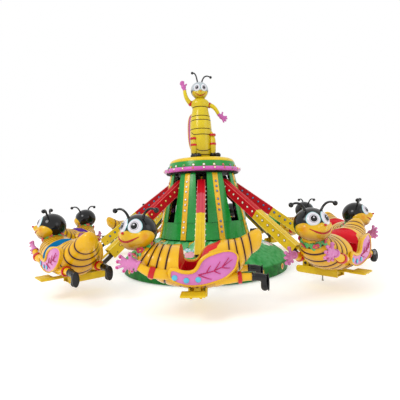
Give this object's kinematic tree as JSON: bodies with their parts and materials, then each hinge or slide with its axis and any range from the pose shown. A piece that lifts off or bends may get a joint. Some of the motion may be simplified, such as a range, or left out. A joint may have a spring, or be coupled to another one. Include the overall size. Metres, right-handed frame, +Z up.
{
  "type": "self-control plane ride with bee cars",
  "caption": "Fairground self-control ride: bee cars on lifting arms with levelling links round a turning tower, under a crown with a waving bee.",
  "frame": {"origin": "centre of the plinth's underside on the ground", "axes": "+Z up along the tower's axis; arm 1 points along -Y, and the arms are numbered anticlockwise seen from above"},
  "size_m": [8.36, 8.36, 5.1488],
  "materials": {
    "green_paint": "gloss",
    "dark_steel": "matte",
    "underside_paint": "satin",
    "pink_gelcoat": "gloss",
    "yellow_gelcoat": "gloss",
    "yellow_paint": "gloss",
    "red_paint": "gloss"
  },
  "bodies": {
    "base": {"base_plinth": "green_paint"},
    "rotor": {"tower_core": "dark_steel", "tower_cladding": "green_paint", "crown_plate": "underside_paint", "crown_rim": "pink_gelcoat", "crown_band": "green_paint", "crown_cap": "yellow_gelcoat", "figure_body": "yellow_gelcoat", "figure_head": "yellow_gelcoat", "figure_arm_raised": "yellow_gelcoat", "figure_arm_lowered": "yellow_gelcoat", "figure_wings": "pink_gelcoat"},
    "arm_body_1": {"arm_1": "red_paint"},
    "link_body_1": {"link_1": "yellow_paint"},
    "car_1": {"car_frame_1": "yellow_paint", "bee_1": "yellow_gelcoat"},
    "arm_body_2": {"arm_2": "red_paint"},
    "link_body_2": {"link_2": "yellow_paint"},
    "car_2": {"car_frame_2": "yellow_paint", "bee_2": "yellow_gelcoat"},
    "arm_body_3": {"arm_3": "red_paint"},
    "link_body_3": {"link_3": "yellow_paint"},
    "car_3": {"car_frame_3": "yellow_paint", "bee_3": "yellow_gelcoat"},
    "arm_body_4": {"arm_4": "red_paint"},
    "link_body_4": {"link_4": "yellow_paint"},
    "car_4": {"car_frame_4": "yellow_paint", "bee_4": "yellow_gelcoat"},
    "arm_body_5": {"arm_5": "red_paint"},
    "link_body_5": {"link_5": "yellow_paint"},
    "car_5": {"car_frame_5": "yellow_paint", "bee_5": "yellow_gelcoat"},
    "arm_body_6": {"arm_6": "red_paint"},
    "link_body_6": {"link_6": "yellow_paint"},
    "car_6": {"car_frame_6": "yellow_paint", "bee_6": "yellow_gelcoat"},
    "arm_body_7": {"arm_7": "red_paint"},
    "link_body_7": {"link_7": "yellow_paint"},
    "car_7": {"car_frame_7": "yellow_paint", "bee_7": "yellow_gelcoat"},
    "arm_body_8": {"arm_8": "red_paint"},
    "link_body_8": {"link_8": "yellow_paint"},
    "car_8": {"car_frame_8": "yellow_paint", "bee_8": "yellow_gelcoat"}
  },
  "joints": [
    {"name": "spin", "type": "hinge", "parent": "base", "child": "rotor", "pos_m": [0, 0, 0.8], "axis": [0, 0, -1], "continuous": true},
    {"name": "lift_1", "type": "hinge", "parent": "rotor", "child": "arm_body_1", "pos_m": [0, -0.6, 2.22], "axis": [-1, 0, 0], "range_deg": [0, 32]},
    {"name": "link_swing_1", "type": "hinge", "parent": "rotor", "child": "link_body_1", "pos_m": [0, -0.6, 2.34], "axis": [-1, 0, 0], "range_deg": [0, 32]},
    {"name": "car_level_1", "type": "hinge", "parent": "arm_body_1", "child": "car_1", "pos_m": [0, -3, 0.45703], "axis": [-1, 0, 0], "range_deg": [-32, 0]},
    {"name": "lift_2", "type": "hinge", "parent": "rotor", "child": "arm_body_2", "pos_m": [0.42426, -0.42426, 2.22], "axis": [-0.7071, -0.7071, 0], "range_deg": [0, 32]},
    {"name": "link_swing_2", "type": "hinge", "parent": "rotor", "child": "link_body_2", "pos_m": [0.42426, -0.42426, 2.34], "axis": [-0.7071, -0.7071, 0], "range_deg": [0, 32]},
    {"name": "car_level_2", "type": "hinge", "parent": "arm_body_2", "child": "car_2", "pos_m": [2.12132, -2.12132, 0.45703], "axis": [-0.7071, -0.7071, 0], "range_deg": [-32, 0]},
    {"name": "lift_3", "type": "hinge", "parent": "rotor", "child": "arm_body_3", "pos_m": [0.6, 0, 2.22], "axis": [0, -1, 0], "range_deg": [0, 32]},
    {"name": "link_swing_3", "type": "hinge", "parent": "rotor", "child": "link_body_3", "pos_m": [0.6, 0, 2.34], "axis": [0, -1, 0], "range_deg": [0, 32]},
    {"name": "car_level_3", "type": "hinge", "parent": "arm_body_3", "child": "car_3", "pos_m": [3, 0, 0.45703], "axis": [0, -1, 0], "range_deg": [-32, 0]},
    {"name": "lift_4", "type": "hinge", "parent": "rotor", "child": "arm_body_4", "pos_m": [0.42426, 0.42426, 2.22], "axis": [0.7071, -0.7071, 0], "range_deg": [0, 32]},
    {"name": "link_swing_4", "type": "hinge", "parent": "rotor", "child": "link_body_4", "pos_m": [0.42426, 0.42426, 2.34], "axis": [0.7071, -0.7071, 0], "range_deg": [0, 32]},
    {"name": "car_level_4", "type": "hinge", "parent": "arm_body_4", "child": "car_4", "pos_m": [2.12132, 2.12132, 0.45703], "axis": [0.7071, -0.7071, 0], "range_deg": [-32, 0]},
    {"name": "lift_5", "type": "hinge", "parent": "rotor", "child": "arm_body_5", "pos_m": [0, 0.6, 2.22], "axis": [1, 0, 0], "range_deg": [0, 32]},
    {"name": "link_swing_5", "type": "hinge", "parent": "rotor", "child": "link_body_5", "pos_m": [0, 0.6, 2.34], "axis": [1, 0, 0], "range_deg": [0, 32]},
    {"name": "car_level_5", "type": "hinge", "parent": "arm_body_5", "child": "car_5", "pos_m": [0, 3, 0.45703], "axis": [1, 0, 0], "range_deg": [-32, 0]},
    {"name": "lift_6", "type": "hinge", "parent": "rotor", "child": "arm_body_6", "pos_m": [-0.42426, 0.42426, 2.22], "axis": [0.7071, 0.7071, 0], "range_deg": [0, 32]},
    {"name": "link_swing_6", "type": "hinge", "parent": "rotor", "child": "link_body_6", "pos_m": [-0.42426, 0.42426, 2.34], "axis": [0.7071, 0.7071, 0], "range_deg": [0, 32]},
    {"name": "car_level_6", "type": "hinge", "parent": "arm_body_6", "child": "car_6", "pos_m": [-2.12132, 2.12132, 0.45703], "axis": [0.7071, 0.7071, 0], "range_deg": [-32, 0]},
    {"name": "lift_7", "type": "hinge", "parent": "rotor", "child": "arm_body_7", "pos_m": [-0.6, 0, 2.22], "axis": [0, 1, 0], "range_deg": [0, 32]},
    {"name": "link_swing_7", "type": "hinge", "parent": "rotor", "child": "link_body_7", "pos_m": [-0.6, 0, 2.34], "axis": [0, 1, 0], "range_deg": [0, 32]},
    {"name": "car_level_7", "type": "hinge", "parent": "arm_body_7", "child": "car_7", "pos_m": [-3, 0, 0.45703], "axis": [0, 1, 0], "range_deg": [-32, 0]},
    {"name": "lift_8", "type": "hinge", "parent": "rotor", "child": "arm_body_8", "pos_m": [-0.42426, -0.42426, 2.22], "axis": [-0.7071, 0.7071, 0], "range_deg": [0, 32]},
    {"name": "link_swing_8", "type": "hinge", "parent": "rotor", "child": "link_body_8", "pos_m": [-0.42426, -0.42426, 2.34], "axis": [-0.7071, 0.7071, 0], "range_deg": [0, 32]},
    {"name": "car_level_8", "type": "hinge", "parent": "arm_body_8", "child": "car_8", "pos_m": [-2.12132, -2.12132, 0.45703], "axis": [-0.7071, 0.7071, 0], "range_deg": [-32, 0]}
  ],
  "couplings": [
    {"joint": "link_swing_1", "follows": "lift_1", "ratio": 1},
    {"joint": "car_level_1", "follows": "lift_1", "ratio": -1},
    {"joint": "link_swing_2", "follows": "lift_2", "ratio": 1},
    {"joint": "car_level_2", "follows": "lift_2", "ratio": -1},
    {"joint": "link_swing_3", "follows": "lift_3", "ratio": 1},
    {"joint": "car_level_3", "follows": "lift_3", "ratio": -1},
    {"joint": "link_swing_4", "follows": "lift_4", "ratio": 1},
    {"joint": "car_level_4", "follows": "lift_4", "ratio": -1},
    {"joint": "link_swing_5", "follows": "lift_5", "ratio": 1},
    {"joint": "car_level_5", "follows": "lift_5", "ratio": -1},
    {"joint": "link_swing_6", "follows": "lift_6", "ratio": 1},
    {"joint": "car_level_6", "follows": "lift_6", "ratio": -1},
    {"joint": "link_swing_7", "follows": "lift_7", "ratio": 1},
    {"joint": "car_level_7", "follows": "lift_7", "ratio": -1},
    {"joint": "link_swing_8", "follows": "lift_8", "ratio": 1},
    {"joint": "car_level_8", "follows": "lift_8", "ratio": -1}
  ]
}
